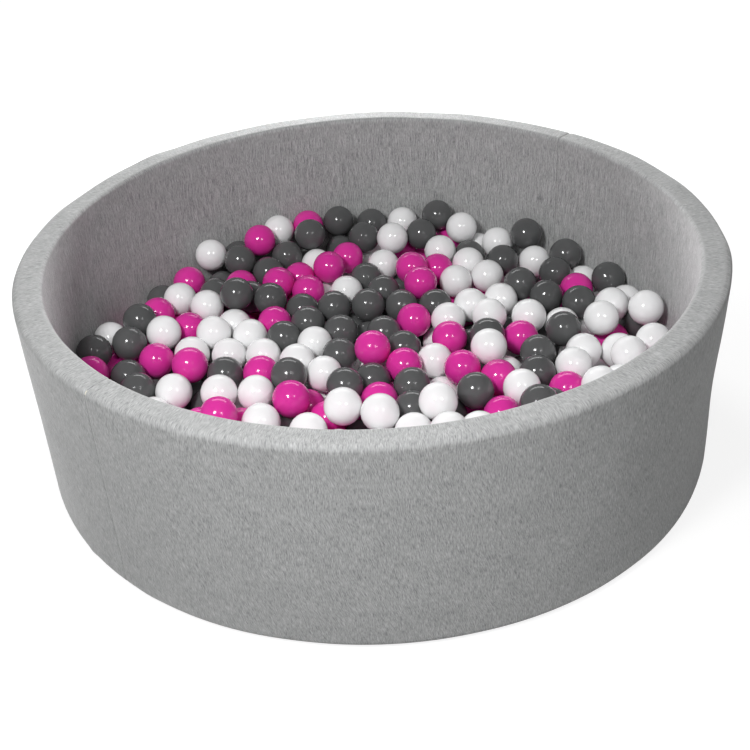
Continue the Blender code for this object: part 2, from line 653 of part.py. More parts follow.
def make_balls(group, materials):
    """All balls: the lone ones as pieces of their own, the others joined by colour."""
    places, colours, eye, along = first_places()
    places = settle(places, eye, along)
    pairs = near_pairs(places, REACH_SHARE * BALL_DIAMETER)
    colours = colour_hidden(colours, pairs)
    lone = choose_lone(places, colours, len(along), pairs)
    groups, joined = joined_groups(colours, pairs, lone)

    welds = [[] for _ in colours]
    for here, there in joined:
        facet = weld_corners(places[here], places[there])
        welds[here].append((facet, places[there]))
        welds[there].append((facet, places[here]))
    # Large groups rest on the floor, so only small ones need corners where they touch others
    small = [groups.count(mark) < SMALL_GROUP for mark in groups]
    touches = [[] for _ in colours]
    for here, there in near_pairs(places, TOUCH_SHARE * BALL_DIAMETER):
        if groups[here] != groups[there] and (small[here] or small[there]):
            between = places[there] - places[here]
            reach = BALL_RADIUS * between / np.linalg.norm(between)
            touches[here].append(places[here] + reach)
            touches[there].append(places[there] - reach)
    for ball, (x, y, z) in enumerate(places):
        if z < BALL_REST_HEIGHT + CLEARANCE:
            touches[ball].append(places[ball] - (0, 0, BALL_RADIUS))

    shapes = [sphere_points(fineness) for fineness in range(3)]
    low = BALL_REST_HEIGHT + BALL_RADIUS
    numbers = dict.fromkeys(COLOUR_NAMES, 0)
    for mark in sorted(set(groups)):
        members = [ball for ball, other in enumerate(groups) if other == mark]
        colour = COLOUR_NAMES[colours[members[0]]]
        numbers[colour] += 1
        kind = "ball" if len(members) == 1 else "balls"
        name = f"{colour}_{kind}_{numbers[colour]:02d}"
        origin = places[members[0]]
        bm = bmesh.new()
        for ball in members:
            fineness = 2 if ball in lone else 1 if places[ball][2] > low else 0
            add_ball(bm, places[ball], touches[ball], welds[ball], shapes[fineness])
        bmesh.ops.remove_doubles(bm, verts=bm.verts, dist=MERGE_DISTANCE)
        bmesh.ops.recalc_face_normals(bm, faces=bm.faces)
        bmesh.ops.translate(bm, vec=-origin, verts=bm.verts)
        made = mesh_object(name, bm, group, materials[colour])
        made.location = origin


def main():
    """Build the ball pit in an emptied scene."""
    for thing in list(bpy.data.objects):
        bpy.data.objects.remove(thing, do_unlink=True)
    group = collection("ball_pit")
    tools = collection("cutters")
    jersey = material("grey_jersey", (0.42, 0.43, 0.41), 0.95)
    lining = material("underside_fabric", (0.30, 0.31, 0.31), 0.95)
    foam = material("polyether_foam", (0.85, 0.83, 0.74), 0.9)
    tape = material("zip_tape", (0.16, 0.16, 0.17), 0.85)
    metal = material("zip_metal", (0.55, 0.55, 0.56), 0.35, 1.0)
    plastics = {
        "white": material("white_plastic", (0.86, 0.86, 0.87), 0.3),
        "grey": material("dark_grey_plastic", (0.065, 0.068, 0.068), 0.3),
        "magenta": material("magenta_plastic", (0.67, 0.02, 0.30), 0.3),
    }
    make_wall(group, tools, jersey, foam)
    make_floor(group, jersey, lining, foam)
    make_zip(group, tools, tape, metal)
    make_balls(group, plastics)


main()
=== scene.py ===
"""Looks of a round foam ball pit: a heather jersey cover on a foam ring, and a bed of balls.

Metres, +Z up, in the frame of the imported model, with the origin at the middle of the underside.
Azimuths run anticlockwise from +X, seen from above.
"""

import json
import math

import bpy
import numpy as np
from mathutils import Matrix

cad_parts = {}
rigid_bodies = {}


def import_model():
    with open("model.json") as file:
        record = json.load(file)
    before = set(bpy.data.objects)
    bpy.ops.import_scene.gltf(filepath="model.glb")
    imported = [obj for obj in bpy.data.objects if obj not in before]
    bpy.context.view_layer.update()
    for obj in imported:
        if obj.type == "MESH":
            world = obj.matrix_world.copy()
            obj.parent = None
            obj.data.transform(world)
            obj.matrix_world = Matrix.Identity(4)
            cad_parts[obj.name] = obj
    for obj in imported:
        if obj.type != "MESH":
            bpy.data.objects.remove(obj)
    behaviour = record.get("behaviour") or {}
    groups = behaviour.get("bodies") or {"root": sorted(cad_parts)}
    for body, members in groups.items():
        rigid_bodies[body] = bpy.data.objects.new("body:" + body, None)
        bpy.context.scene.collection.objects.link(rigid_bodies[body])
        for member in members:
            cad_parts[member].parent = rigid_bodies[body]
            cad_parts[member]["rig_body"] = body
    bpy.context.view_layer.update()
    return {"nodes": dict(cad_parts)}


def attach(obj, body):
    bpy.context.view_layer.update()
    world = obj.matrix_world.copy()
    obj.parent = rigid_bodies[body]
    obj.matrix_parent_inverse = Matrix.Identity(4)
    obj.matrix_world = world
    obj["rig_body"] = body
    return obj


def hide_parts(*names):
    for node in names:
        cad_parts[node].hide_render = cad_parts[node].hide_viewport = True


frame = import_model()

# Pit
OUTER_RADIUS = 0.64
INNER_RADIUS = 0.59
WALL_HEIGHT = 0.40
WALL_LEAN = 0.006
RIM_ROUNDING = 0.010           # of the rim's outer corner
RIM_INNER_ROUNDING = 0.0075
FOOT_ROUNDING = 0.018
HEM_BOTTOM = 0.0003
HEM_RADIUS = 0.610             # of the edge sewn to the zip's outer tape
COVER_THICKNESS = 0.001
PROFILE_STEP = 0.006           # between points of the wall's section, on its straight runs
ARC_POINTS = 7                 # on a quarter round of the section

# Soft surface of the wall
SWELL = 0.0006                 # that the stuffed cover bulges all over
OUTER_CORNER = 0.43            # along the section from the inner foot to the rim's outer corner
RELIEF_FADE = 0.03             # from both edges of a panel, over which its relief dies away
RELIEF_SEED = 11
WAVE_TURNS = (3, 5, 7, 9, 14, 19, 27)      # of the relief's waves round the ring
WAVE_HEIGHT = 0.0011           # divided by one more than a wave's turns over HALF_TURNS
HALF_TURNS = 9
WAVE_LENGTH = 0.2              # along the section, over which a wave rises 1 to 5 radians
RIM_OUTER_RISE = 0.0012        # of the top at the back, at its outer and inner edge
RIM_INNER_RISE = 0.0026
RIM_TILT_DEPTH = 0.12          # below the top, where the rise has died away
# Bulges and dents: azimuth in degrees, radius and level, then height, width and tallness
BULGES = [(135.5, 0.638, 0.395, 0.0024, 0.040, 0.030), (216.5, 0.632, 0.006, 0.0015, 0.012, 0.020),
          (231.0, 0.634, 0.015, 0.0012, 0.030, 0.040), (341.0, 0.637, 0.190, -0.0058, 0.160, 0.100),
          (268.0, 0.633, 0.010, -0.0042, 0.240, 0.045)]

# Seams between the two panels
SEAM_AZIMUTH = math.radians(46.0)
SEAM_GAP = 0.0001              # between the two panels where they are sewn together
SEAM_COLUMNS = (0.0, 0.0002, 0.0006, 0.0012, 0.002, 0.0032, 0.005, 0.008, 0.012, 0.018)
PANEL_MARGIN = 0.024           # from a seam to the evenly spread columns
PANEL_COLUMNS = 310
SEAM_WIDTH = 0.002             # and depth, that the cloth sinks by beside a seam
SEAM_DEPTH = 0.0008
NOTCH_REACH = 0.012            # round the rim's outer corner, where the seam is drawn in more
NOTCH_WIDTH = 0.002            # and depth, added there
NOTCH_DEPTH = 0.0022
TURNED_IN = 0.002              # that the panel's last edge goes into the wall
PUCKER_HEIGHT = 0.00035
PUCKER_PITCH = 0.0034          # along the seam, for each radian of a pucker's wave
PUCKER_DRIFT = 0.031           # along the seam, for each radian that the pitch varies with
PUCKER_REACH = 0.016           # from the seam, where puckers have died away to a third
PUCKER_START = 0.003           # from the seam, where they have grown to two thirds

# Foam of the wall
FOAM_INSET = 0.0023            # from the cover's outside in to the foam
FOAM_JOINT = 0.001             # between the two ends of the foam strip
FOAM_GROOVE_RADIUS = 0.6146    # the foam's foot is cut away inside this, to make room for the zip
FOAM_GROOVE_TOP = 0.0105
FOAM_COLUMNS = 360
FOAM_STEP = 0.02
FOAM_ARC_POINTS = 4

# Floor of the pit
MAT_BOTTOM = 0.0023
FLOOR_HEIGHT = 0.0446
MAT_RADIUS = INNER_RADIUS - 0.0004
MAT_FOAM_BOTTOM = MAT_BOTTOM + 0.0001
MAT_FOAM_TOP = FLOOR_HEIGHT - 0.0024
MAT_FOAM_ROUNDING = 0.004
MAT_COVER_BOTTOM = FLOOR_HEIGHT - 0.0018
MAT_COVER_TOP = FLOOR_HEIGHT - 0.0002
LINING_RADIUS = 0.5968
LINING_THICKNESS = 0.0018
CLOTH_EDGE = 0.001             # that a flat cloth narrows by at its top and bottom
CLOTH_EDGE_RISE = 0.0008       # from its bottom to its outermost line
CLOTH_BAND = 0.2               # from a flat layer's edge to its inner ring of points
MAT_BAND = 0.3
LAYER_COLUMNS = 192

# Zip, under the foot of the wall: heights above the ground, and widths from its middle line
ZIP_RADIUS = 0.6029
ZIP_HEIGHT = 0.007
ZIP_AZIMUTH = math.radians(90.0)
ZIP_END_GAP = 0.030            # between the first tooth and the last
TAPE_THICKNESS = 0.0006
TAPE_NEAR_EDGE = 0.0022
TAPE_BEND = 0.0058
TAPE_FOOT = 0.0074
TAPE_FAR_EDGE = 0.0105
TAPE_OUTER_HEIGHT = 0.0018     # where it is sewn to the wall cover
TAPE_INNER_HEIGHT = 0.0023     # where it is sewn to the lining
TAPE_ROUNDING = 0.0004         # of the two bends in the tape
TAPE_DIP = 0.0003              # at the upper bend
TAPE_STEP = 0.006
TOOTH_PITCH = 0.002
TOOTH_NOSE = 0.00065           # from the middle line, and where the tooth ends
TOOTH_HEEL = 0.0036
TOOTH_NOSE_HALF_WIDTH = 0.00035
TOOTH_HEEL_HALF_WIDTH = 0.0006
TOOTH_NOSE_HALF_HEIGHT = 0.0006
TOOTH_HEEL_HALF_HEIGHT = 0.00095
ZIP_METAL_EDGE = 0.00028       # rounding of the cast parts' edges
SAME_POINT = 0.000001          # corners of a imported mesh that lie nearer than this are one
ZIP_CASTINGS = ("zip_slider", "zip_pull_tab", "zip_stop_first", "zip_stop_last")

# Balls
BALL_RADIUS = 0.035
BALL_SEED = 21
BALL_SLOTS = {"white": "white_plastic", "grey": "dark_grey_plastic", "magenta": "magenta_plastic"}
SAME_PLACE = 0.00003           # guesses at a ball's centre that lie nearer than this agree
UPPER_BALLS = 0.10             # centres higher than this can be seen, and get a finer mesh
UPPER_MESH = (32, 9)           # points round a ball, and rows from pole to middle
LOWER_MESH = (18, 5)
PARTING_ROWS = (86.5, 89.0, 90.0)          # degrees from the pole
PARTING_RISE_SHARE = 0.0035    # of the radius
PARTING_WIDTH = 0.02           # in radians, and so is the clear space before those rows
ROW_CLEARANCE = 0.04
POLE_SHARE = 0.997             # of the radius, at the pinch marks

# Knit of the jersey: marks per metre across and along its ribs
FLECKS = (760, 90)
STREAKS = (760, 30)
RIBS = (520, 9)
YARNS = (1300, 210)
BANDS = (120, 30)
STITCHES = (1400, 700)
MELANGE_DARK = (0.215, 0.219, 0.220, 1.0)
MELANGE_PALE = (0.570, 0.576, 0.574, 1.0)
ASKEW = 0.08                   # slope of the ribs at the rim's outer corner
ASKEW_GAIN = 0.2               # more slope for each metre down the wall
WANDER = 0.022
TENSION_CHANGE = 0.38          # along the section, where the cloth is no longer drawn tight
TENSION_BLEND = 0.02
# Width of the painted shade beside a seam
SEAM_PAINTED_SHADE_WIDTH = 0.0012
KNIT_DEPTH = 0.0004

# Other cloth: radians per metre of its threads or ribs, and the depth of its relief
LINING_THREADS = 5200
LINING_DEPTH = 0.0002
TWILL_RIBS = 6000
TWILL_DEPTH = 0.0001

# Foam
FOAM_CREAM = (0.80, 0.76, 0.62, 1.0)
FOAM_PALE = (0.88, 0.86, 0.76, 1.0)
# Painted shade in the hollows of the foam's cells
FOAM_CELL_SHADE = (0.55, 0.51, 0.40, 1.0)
CELLS_PER_METRE = 1400.0
CELL_DEPTH = 0.0003

# Moulded and cast surfaces: the depth of their relief
TOOTH_WEAR_DEPTH = 0.0001
SCRATCH_DEPTH = 0.00002
BALL_WAVE_DEPTH = 0.0002

# Studio
AMBIENT = 0.075                # strength of the world's light on the pit
FLOOR_RADIUS = 9
FLOOR_DROP = 0.0005
FLOOR_GLOW = 0.86              # of the floor close to the pit, where the shadow is
SHADOW_RADIUS = 0.9            # the glow rises to full over a metre past this
PIT_MIDDLE = (0, 0, 0.2)

# Viewpoint, as a camera 35 degrees above the rim sees the pit, for a picture 750 pixels square
VIEW_DISTANCE = 3.797 * OUTER_RADIUS
VIEW_ELEVATION = math.radians(35.08)
VIEW_PAN = math.radians(-0.08)
VIEW_TILT = math.radians(2.05)
VIEW_ROLL = math.radians(-2.89)
VIEW_FOCAL_PX = 1208.2
PICTURE_PX = 750
SENSOR_MM = 36.0


class Value:
    """An output of a shader node. Arithmetic on it adds Math nodes."""

    def __init__(self, nodes, socket):
        self.nodes = nodes
        self.socket = socket

    def __add__(self, other):
        return self.nodes.math("ADD", self, other)

    def __radd__(self, other):
        return self.nodes.math("ADD", other, self)

    def __sub__(self, other):
        return self.nodes.math("SUBTRACT", self, other)

    def __rsub__(self, other):
        return self.nodes.math("SUBTRACT", other, self)

    def __mul__(self, other):
        return self.nodes.math("MULTIPLY", self, other)

    def __rmul__(self, other):
        return self.nodes.math("MULTIPLY", other, self)

    def __truediv__(self, other):
        return self.nodes.math("DIVIDE", self, other)

    def __rtruediv__(self, other):
        return self.nodes.math("DIVIDE", other, self)

    def at_most(self, other):
        """The smaller of this value and another."""
        return self.nodes.math("MINIMUM", self, other)

    def at_least(self, other):
        """The larger of this value and another."""
        return self.nodes.math("MAXIMUM", self, other)

    def clamped(self):
        """This value, kept from 0 to 1."""
        return self.at_most(1.0).at_least(0.0)


class Nodes:
    """A shader's node tree, and the ways to add to it."""

    def __init__(self, tree):
        self.tree = tree

    def node(self, kind, settings=(), values=(), output=0):
        """A node of this type, its settings first, then its sockets' values or links."""
        made = self.tree.nodes.new(kind)
        for name, value in dict(settings).items():
            setattr(made, name, value)
        for name, value in dict(values).items():
            self.feed(made.inputs[name], value)
        return Value(self, made.outputs[output])

    def feed(self, socket, value):
        """Set a socket to a number or colour, or link it to a value."""
        if isinstance(value, Value):
            self.tree.links.new(value.socket, socket)
        else:
            socket.default_value = value

    def math(self, operation, *operands):
        """A Math node with this operation on these operands, in their order."""
        return self.node("ShaderNodeMath", {"operation": operation}, enumerate(operands))

    def object_place(self):
        """The point on the surface, in object coordinates."""
        return self.node("ShaderNodeTexCoord", output="Object")

    def along_surface(self):
        """The point on the surface, in metres along the piece's own UV map."""
        return self.node("ShaderNodeUVMap", {"uv_map": "surface"})

    def attribute(self, name):
        """A number that the mesh carries at each of its corners."""
        return self.node("ShaderNodeAttribute", {"attribute_name": name}, output="Fac")

    def ray(self, kind):
        """One where the light path is a ray of this kind, and zero elsewhere."""
        return self.node("ShaderNodeLightPath", output=f"Is {kind} Ray")

    def parts(self, vector):
        """The X, Y and Z of a vector."""
        split = self.node("ShaderNodeSeparateXYZ", values={0: vector}).socket.node
        return [Value(self, socket) for socket in split.outputs]

    def vector(self, *values):
        """A vector of these numbers."""
        return self.node("ShaderNodeCombineXYZ", values=enumerate(values))

    def noise(self, place, scale=1.0, detail=2.0, roughness=0.5):
        """Soft noise from 0 to 1, about 0.5."""
        values = {"Vector": place, "Scale": scale, "Detail": detail, "Roughness": roughness}
        return self.node("ShaderNodeTexNoise", values=values)

    def marks(self, across, along, per_metre, level, detail=1):
        """Soft noise about zero, with this many marks per metre across and along the cloth."""
        place = self.vector(across * per_metre[0], along * per_metre[1], level)
        return self.noise(place, detail=detail) - 0.5

    def mix(self, share, first, second):
        """A colour between two colours."""
        settings = {"data_type": "RGBA", "clamp_factor": True}
        return self.node("ShaderNodeMix", settings, {0: share, 6: first, 7: second}, output=2)


class Finish(Nodes):
    """A material that is built node by node round a Principled shader."""

    def __init__(self, name, **constants):
        self.material = bpy.data.materials.new(name)
        self.material.use_nodes = True
        super().__init__(self.material.node_tree)
        self.shader = self.tree.nodes["Principled BSDF"]
        for socket, value in constants.items():
            self.shader.inputs[socket.replace("_", " ")].default_value = value

    def paint(self, colour, roughness, height, depth):
        """Feed the shader with a colour, a roughness, and a relief of this depth in metres."""
        relief_node = self.node("ShaderNodeBump", values={"Height": height, "Distance": depth})
        self.feed(self.shader.inputs["Base Color"], colour)
        self.feed(self.shader.inputs["Roughness"], roughness)
        self.feed(self.shader.inputs["Normal"], relief_node)
        return self.material


def grey(level):
    """A neutral grey."""
    return (level, level, level, 1.0)


def heather_jersey():
    """Light grey melange knit: fine pale and dark flecks that run along the knit's ribs."""
    finish = Finish("heather_jersey", Sheen_Weight=0.4, Sheen_Roughness=0.5, Specular_IOR_Level=0.2)
    across, along, _ = finish.parts(finish.along_surface())
    place = finish.vector(across, along, 0.0)
    # Outside, the cloth is pulled askew, more and more towards the foot, and its ribs wander
    down = (along - OUTER_CORNER).at_least(0.0)
    across = across - down * (down * ASKEW_GAIN + ASKEW) + (finish.noise(place, 11, 1) - 0.5) * WANDER
    flecks = finish.marks(across, along, FLECKS, 0.0)
    streaks = finish.marks(across, along, STREAKS, 5.0)
    yarns = finish.marks(across, along, YARNS, 3.0)
    ribs = finish.marks(across, along, RIBS, 9.0)
    bands = finish.marks(across, along, BANDS, 7.0, detail=2)
    stitches = finish.marks(across, along, STITCHES, 1.0)
    clouds = finish.noise(place, 24, 3) - 0.5
    # Inside the ring the cloth is drawn tight: its streaks are stronger, and its flecks weaker
    inside = ((TENSION_CHANGE - along) / TENSION_BLEND).clamped()
    tone = (0.5 + flecks * (1.6 - inside * 0.3) + streaks * (0.6 + inside * 1.1)
            + ribs * inside * 0.9 + yarns * (0.9 + inside * 0.5)
            + bands * (0.35 - inside * 0.15) + clouds * (0.3 - inside * 0.1)).clamped()
    colour = finish.mix(tone, MELANGE_DARK, MELANGE_PALE)
    # Painted shade: the colour darkens to grey beside the seam, where the sewn edge is turned in
    shade = (finish.attribute("from_seam") / SEAM_PAINTED_SHADE_WIDTH).at_most(1.0)
    colour = finish.mix(shade, grey(0.24), colour)
    return finish.paint(colour, 0.9 - tone * 0.1, flecks * 0.6 + stitches * 0.4, KNIT_DEPTH)


def underside_lining():
    """Plain woven grey lining: threads over and under each other, with uneven dye."""
    finish = Finish("underside_lining", Sheen_Weight=0.1, Specular_IOR_Level=0.25)
    place = finish.object_place()
    x, y, _ = finish.parts(place)
    threads = finish.math("SINE", x * LINING_THREADS) * finish.math("SINE", y * LINING_THREADS)
    dye = finish.noise(place, 18, 4)
    colour = finish.mix(dye * 0.7 + threads * 0.12 + 0.1, grey(0.22), grey(0.36))
    return finish.paint(colour, 0.9, threads, LINING_DEPTH)


def open_cell_foam():
    """Pale cut foam: small open cells with painted shade in their hollows, and a yellow tint that varies.
    """
    finish = Finish("open_cell_foam", Specular_IOR_Level=0.2)
    place = finish.object_place()
    cells = finish.node("ShaderNodeTexVoronoi", values={"Vector": place, "Scale": CELLS_PER_METRE})
    tint = finish.noise(place, 9, 3)
    colour = finish.mix(tint, FOAM_CREAM, FOAM_PALE)
    # Painted shade: darker towards the middle of each cell, where the relief dips into a hollow
    colour = finish.mix((1.0 - cells) * 0.3, colour, FOAM_CELL_SHADE)
    return finish.paint(colour, 0.95, cells, CELL_DEPTH)


def zip_tape():
    """Dark grey twill tape: slanting ribs across the tape."""
    finish = Finish("zip_twill", Specular_IOR_Level=0.25)
    across, along, _ = finish.parts(finish.along_surface())
    ribs = finish.math("SINE", (across + along) * TWILL_RIBS)
    colour = finish.mix(ribs * 0.5 + 0.5, grey(0.016), grey(0.035))
    return finish.paint(colour, 0.85, ribs, TWILL_DEPTH)


def zip_teeth():
    """Moulded dark plastic, slightly worn where the slider runs."""
    finish = Finish("zip_teeth")
    wear = finish.noise(finish.object_place(), 260, 3)
    colour = finish.mix(wear, grey(0.018), grey(0.05))
    return finish.paint(colour, 0.3 + wear * 0.25, wear, TOOTH_WEAR_DEPTH)


def zip_metal():
    """Die-cast zinc: satin, with fine scratches and dull patches."""
    finish = Finish("zip_cast_zinc", Metallic=1.0)
    place = finish.object_place()
    x, y, z = finish.parts(place)
    scratches = finish.noise(finish.vector(x * 400, y * 6000, z * 6000), detail=2)
    patches = finish.noise(place, 300, 3)
    colour = finish.mix(patches, grey(0.36), grey(0.52))
    return finish.paint(colour, 0.3 + patches * 0.2 + scratches * 0.1, scratches, SCRATCH_DEPTH)


def ball_plastic(name, colour, deeper):
    """Blow-moulded polyethylene: glossy and faintly wavy, each ball a shade of its own."""
    finish = Finish(name, Specular_IOR_Level=0.5)
    place = finish.object_place()
    scuffs = finish.noise(place, 160, 4, 0.6)
    shade = finish.attribute("shade")
    mixed = finish.mix(shade * 0.8 + scuffs * 0.2, (*deeper, 1.0), (*colour, 1.0))
    waves = finish.noise(place, 70, 1)
    return finish.paint(mixed, 0.08 + scuffs * 0.08 + shade * 0.03, waves, BALL_WAVE_DEPTH)


def grid_faces(rows, columns, closed_rows=False, closed_columns=False):
    """Four-cornered faces between neighbours on a grid whose points are numbered row by row."""
    row = np.arange(rows if closed_rows else rows - 1)[:, None]
    column = np.arange(columns if closed_columns else columns - 1)[None]
    next_row = (row + 1) % rows
    next_column = (column + 1) % columns
    corners = [row * columns + column, row * columns + next_column,
               next_row * columns + next_column, next_row * columns + column]
    return np.stack(corners, axis=-1).reshape(-1, 4)


def turned(radius, azimuth, height):
    """Points at these radii, azimuths and heights, as grids that are spread to one size."""
    return np.stack(np.broadcast_arrays(radius * np.cos(azimuth), radius * np.sin(azimuth), height),
                    axis=-1)


def piece(name, points, faces, finish, body, slot, surface=None, **attributes):
    """A smooth-shaded mesh that rides on a body, with UVs in metres and numbers at its corners."""
    mesh = bpy.data.meshes.new(name)
    mesh.from_pydata(points.reshape(-1, 3).tolist(), [], [list(face) for face in faces])
    mesh.shade_smooth()
    mesh.materials.append(finish)
    if surface is not None:
        corner = np.empty(len(mesh.loops), np.int32)
        mesh.loops.foreach_get("vertex_index", corner)
        uv_map = mesh.uv_layers.new(name="surface")
        uv_map.uv.foreach_set("vector", surface.reshape(-1, 2)[corner].astype(np.float32).ravel())
    for label, values in attributes.items():
        numbers = mesh.attributes.new(label, "FLOAT", "POINT")
        numbers.data.foreach_set("value", values.astype(np.float32).ravel())
    made = bpy.data.objects.new(name, mesh)
    bpy.context.scene.collection.objects.link(made)
    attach(made, body)
    return made


def thicken(made, thickness):
    """Give an open surface its thickness, on the side that its faces point away from."""
    solidify = made.modifiers.new("thickness", "SOLIDIFY")
    solidify.thickness = thickness
    solidify.offset = -1
    solidify.use_even_offset = True


def line(start, end, spacing):
    """Points from start up to, but not at, the end, evenly spread no further apart than spacing."""
    start, end = np.array(start), np.array(end)
    count = max(1, math.ceil(np.linalg.norm(end - start) / spacing))
    return start + (end - start) * (np.arange(count) / count)[:, None]


def arc(centre, radius, start, end, count):
    """Points on an arc from its start angle up to, but not at, its end angle."""
    angle = start + (end - start) * np.arange(count) / count
    return np.stack([centre[0] + radius * np.cos(angle), centre[1] + radius * np.sin(angle)], axis=1)


def wall_profile(spacing=PROFILE_STEP, arc_points=ARC_POINTS):
    """Radius and height along the wall's section: up inside, over the rim and down to the hem.

    Straight lines join quarter rounds at the rim's two corners and the foot.
    """
    inner_centre = (INNER_RADIUS + RIM_INNER_ROUNDING, WALL_HEIGHT - RIM_INNER_ROUNDING)
    outer_centre = (OUTER_RADIUS - RIM_ROUNDING, WALL_HEIGHT - RIM_ROUNDING)
    foot_centre = (OUTER_RADIUS - WALL_LEAN - FOOT_ROUNDING, HEM_BOTTOM + FOOT_ROUNDING)
    return np.concatenate([
        line((INNER_RADIUS, MAT_BOTTOM), (INNER_RADIUS, inner_centre[1]), spacing),
        arc(inner_centre, RIM_INNER_ROUNDING, math.pi, math.pi / 2, arc_points),
        line((inner_centre[0], WALL_HEIGHT), (outer_centre[0], WALL_HEIGHT), spacing),
        arc(outer_centre, RIM_ROUNDING, math.pi / 2, 0, arc_points),
        line((OUTER_RADIUS, outer_centre[1]), (OUTER_RADIUS - WALL_LEAN, foot_centre[1]), spacing),
        arc(foot_centre, FOOT_ROUNDING, 0, -math.pi / 2, arc_points + 2),
        line((foot_centre[0], HEM_BOTTOM), (HEM_RADIUS, HEM_BOTTOM), spacing),
        [(HEM_RADIUS, HEM_BOTTOM)],
    ])


def lengths_along(profile):
    """How far each point of a profile lies along it."""
    steps = np.linalg.norm(np.diff(profile, axis=0), axis=1)
    return np.concatenate([[0], np.cumsum(steps)])


def outward(profile):
    """Unit vectors square to a profile, to the left of the way it runs."""
    along = np.gradient(profile, axis=0)
    along /= np.linalg.norm(along, axis=1, keepdims=True)
    return np.stack([-along[:, 1], along[:, 0]], axis=1)


def relief(azimuth, length, profile):
    """How far the soft wall stands out of round, in metres.

    A sum of waves round the ring and up its height, each with a whole number of turns, so that
    the two panels meet. The bulges are added as bell curves of the distance from their middles.
    """
    draw = np.random.default_rng(RELIEF_SEED)
    total = 0
    for turns in WAVE_TURNS:
        size = WAVE_HEIGHT / (1 + turns / HALF_TURNS)
        rise = draw.uniform(1, 5)
        first, second = draw.uniform(0, 2 * math.pi, 2)
        wave = np.sin(turns * azimuth + first) * np.cos(rise * length / WAVE_LENGTH + second)
        total = total + size * wave
    for middle, radius, level, height, width, tallness in BULGES:
        away = (azimuth - math.radians(middle) + math.pi) % (2 * math.pi) - math.pi
        down = np.linalg.norm(profile - (radius, level), axis=1)[:, None]
        total = total + height * np.exp(-(away * radius / width) ** 2 - (down / tallness) ** 2)
    return total


def rim_tilt(azimuth, profile):
    """How much higher the top stands than level, in metres: most at its inner edge, at the back.

    The top slopes evenly down from the inner edge to the outer one. The rise dies away as a
    square down the wall and, as the sine of the azimuth, towards the two sides.
    """
    across = (OUTER_RADIUS - profile[:, 0]) / (OUTER_RADIUS - INNER_RADIUS)
    down = np.clip(1 - (WALL_HEIGHT - profile[:, 1]) / RIM_TILT_DEPTH, 0, 1)
    rise = RIM_OUTER_RISE + (RIM_INNER_RISE - RIM_OUTER_RISE) * across
    return (rise * down ** 2)[:, None] * np.maximum(np.sin(azimuth), 0)


def swept(profile, azimuth, extra):
    """Points of the soft wall: a section swept through some azimuths.

    Each point stands off the section by the swell and the relief, which die away at both ends
    of the section, and by an extra height. The top is tilted.
    """
    length = lengths_along(profile)
    fade = np.minimum(1, np.minimum(length, length[-1] - length) / RELIEF_FADE)[:, None]
    height = (SWELL + relief(azimuth[None], length[:, None], profile)) * fade + extra
    out = outward(profile)
    radius = profile[:, :1] + height * out[:, :1]
    level = profile[:, 1:] + height * out[:, 1:] + rim_tilt(azimuth, profile)
    return turned(radius, azimuth, level)


def seam_relief(profile, length, from_seam):
    """How far a panel stands out near its two seams, in metres, mostly less than nothing.

    The surface sinks along a bell curve of the distance from the seam, wider and deeper round
    the rim's outer corner. Puckers are a sine along the seam whose pitch varies as another sine;
    they grow from nothing at the seam, and both die away before the hem. The last edge of all
    is turned into the wall.
    """
    hem = np.minimum(1, (length[-1] - length) / RELIEF_FADE)[:, None]
    from_corner = (profile[:, 0] - OUTER_RADIUS) ** 2 + (profile[:, 1] - WALL_HEIGHT) ** 2
    corner = np.exp(-from_corner / NOTCH_REACH ** 2)[:, None]
    width = SEAM_WIDTH + NOTCH_WIDTH * corner
    sunk = (SEAM_DEPTH + NOTCH_DEPTH * corner) * np.exp(-(from_seam / width) ** 2)
    phase = length[:, None] / PUCKER_PITCH + 3 * np.sin(length[:, None] / PUCKER_DRIFT)
    grown = np.exp(-from_seam / PUCKER_REACH) * (1 - np.exp(-from_seam / PUCKER_START))
    return (PUCKER_HEIGHT * np.sin(phase) * grown - sunk) * hem - TURNED_IN * (from_seam == 0)


def wall_cover(name, start, replaced):
    """One jersey panel: the wall's section swept round half the ring, drawn in at both seams."""
    profile = wall_profile()
    length = lengths_along(profile)

    panel = math.pi * OUTER_RADIUS
    near = np.array(SEAM_COLUMNS)
    middle = np.linspace(PANEL_MARGIN, panel - PANEL_MARGIN, PANEL_COLUMNS)
    across = np.concatenate([near, middle, panel - near[::-1]])
    from_seam = np.minimum(across, panel - across)
    gap = SEAM_GAP / 2 / OUTER_RADIUS
    azimuth = start + gap + across / panel * (math.pi - 2 * gap)
    points = swept(profile, azimuth, seam_relief(profile, length, from_seam))

    rows, columns = points.shape[:2]
    surface = np.stack(np.broadcast_arrays(across + start, length[:, None]), axis=-1)
    seam = np.broadcast_to(from_seam, (rows, columns))
    faces = grid_faces(rows, columns)[:, ::-1]
    made = piece(name, points, faces, JERSEY, "pit", "grey_jersey", surface, from_seam=seam)
    thicken(made, COVER_THICKNESS)
    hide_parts(replaced)


